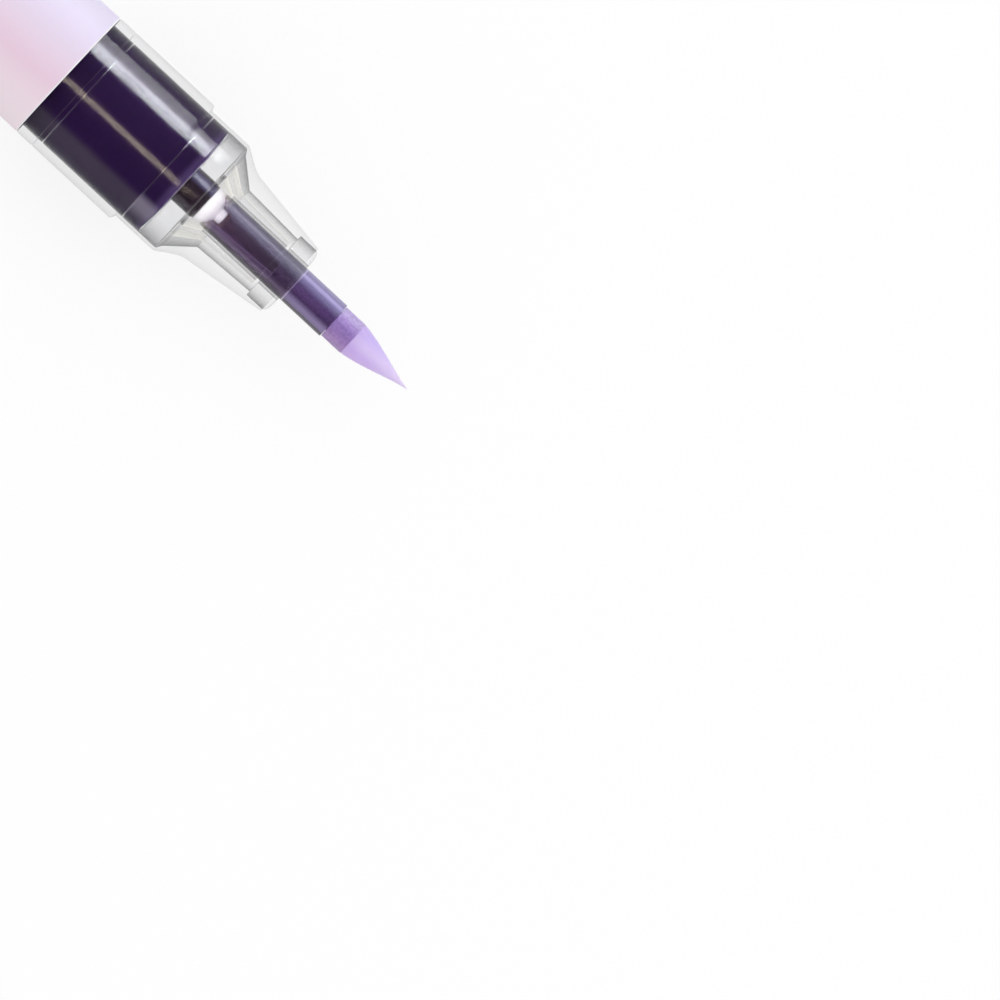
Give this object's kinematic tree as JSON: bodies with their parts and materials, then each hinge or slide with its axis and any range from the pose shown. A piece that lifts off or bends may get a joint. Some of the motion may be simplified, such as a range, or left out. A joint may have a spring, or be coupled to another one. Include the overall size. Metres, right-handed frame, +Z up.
{
  "type": "paint marker",
  "caption": "Slim paint marker with a soft brush nib, clear tapered nose, push-open valve, visible paint tank and a clear clip cap posted on its tail.",
  "frame": {"origin": "centre of the flat tail end of the posted cap, on the pen's axis", "axes": "+X along the pen towards the nib, +Z up as the pen lies on a table on its barrel and its clip"},
  "size_m": [0.1614, 0.0174, 0.015],
  "materials": {
    "soft_nib": "translucent soft lilac fibre, satin",
    "nib_tube": "clear tube with a film of violet paint",
    "wick": "dark porous fibre, wet with paint",
    "spout": "clear moulded plastic, stained",
    "white_plastic": "white moulded plastic, satin",
    "seal": "dark rubber, wet",
    "spring_steel": "bright drawn wire",
    "clear_plastic": "clear moulded plastic, polished",
    "label_film": "printed film, bare, blending from lavender to pink",
    "paint": "liquid paint, dark violet, glossy behind the wall",
    "ball_steel": "polished steel",
    "tail_plastic": "lilac moulded plastic, satin",
    "liner_plastic": "milky soft plastic"
  },
  "bodies": {
    "barrel": {"front_section": "clear_plastic", "barrel": "clear_plastic", "label": "label_film", "guide_bush": "clear_plastic", "nib_guide": "clear_plastic", "valve_body": "clear_plastic", "valve_cage": "white_plastic", "cartridge_tube": "clear_plastic", "cartridge_plug": "white_plastic", "paint_fill": "paint", "tail_plug": "tail_plastic"},
    "nib": {"brush_nib": "soft_nib", "nib_tube": "nib_tube", "nib_wick": "wick", "feed_spout": "spout"},
    "valve_plunger": {"plunger": "white_plastic", "piston_seal": "seal", "spring_washer": "spring_steel", "valve_spring": "spring_steel"},
    "cap": {"cap": "clear_plastic", "cap_liner": "liner_plastic"},
    "mixing_ball": {"mixing_ball": "ball_steel"}
  },
  "joints": [
    {"name": "nib_slide", "type": "slide", "parent": "barrel", "child": "nib", "axis": [-1, 0, 0], "range_m": [0, 0.002], "stiffness_N_per_m": 400},
    {"name": "plunger_slide", "type": "slide", "parent": "barrel", "child": "valve_plunger", "axis": [-1, 0, 0], "range_m": [0, 0.002], "deforming": ["valve_spring"]},
    {"name": "cap_pull", "type": "slide", "parent": "barrel", "child": "cap", "axis": [-1, 0, 0], "range_m": [0, 0.02]},
    {"name": "ball_roll", "type": "slide", "parent": "barrel", "child": "mixing_ball", "axis": [1, 0, 0], "range_m": [-0.0354, 0.0224]}
  ],
  "couplings": [
    {"joint": "plunger_slide", "follows": "nib_slide", "ratio": 1}
  ]
}
